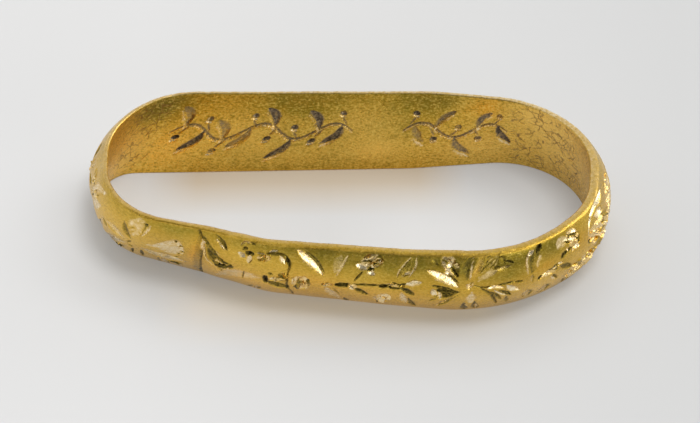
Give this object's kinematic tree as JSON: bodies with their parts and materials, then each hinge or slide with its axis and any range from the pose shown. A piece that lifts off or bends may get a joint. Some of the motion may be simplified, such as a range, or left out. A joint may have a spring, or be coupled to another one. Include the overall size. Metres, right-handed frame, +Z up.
{
  "type": "posy ring",
  "caption": "Gold band ring with a domed, flower-engraved outside, pressed into a long flattened loop and lying on its side edge.",
  "frame": {"origin": "middle of the bounding box's bottom face, on the surface that the ring's lower rim lies on", "axes": "+X along the long way of the pressed loop, +Y from the front wall with the crease to the back wall, +Z up across the band's width"},
  "size_m": [0.0246, 0.0124, 0.0046],
  "materials": {
    "gold": "soft worn polish of old yellow gold, with small scratches and darker engraved lines"
  },
  "bodies": {
    "root": {"ring_band": "gold"}
  },
  "joints": []
}
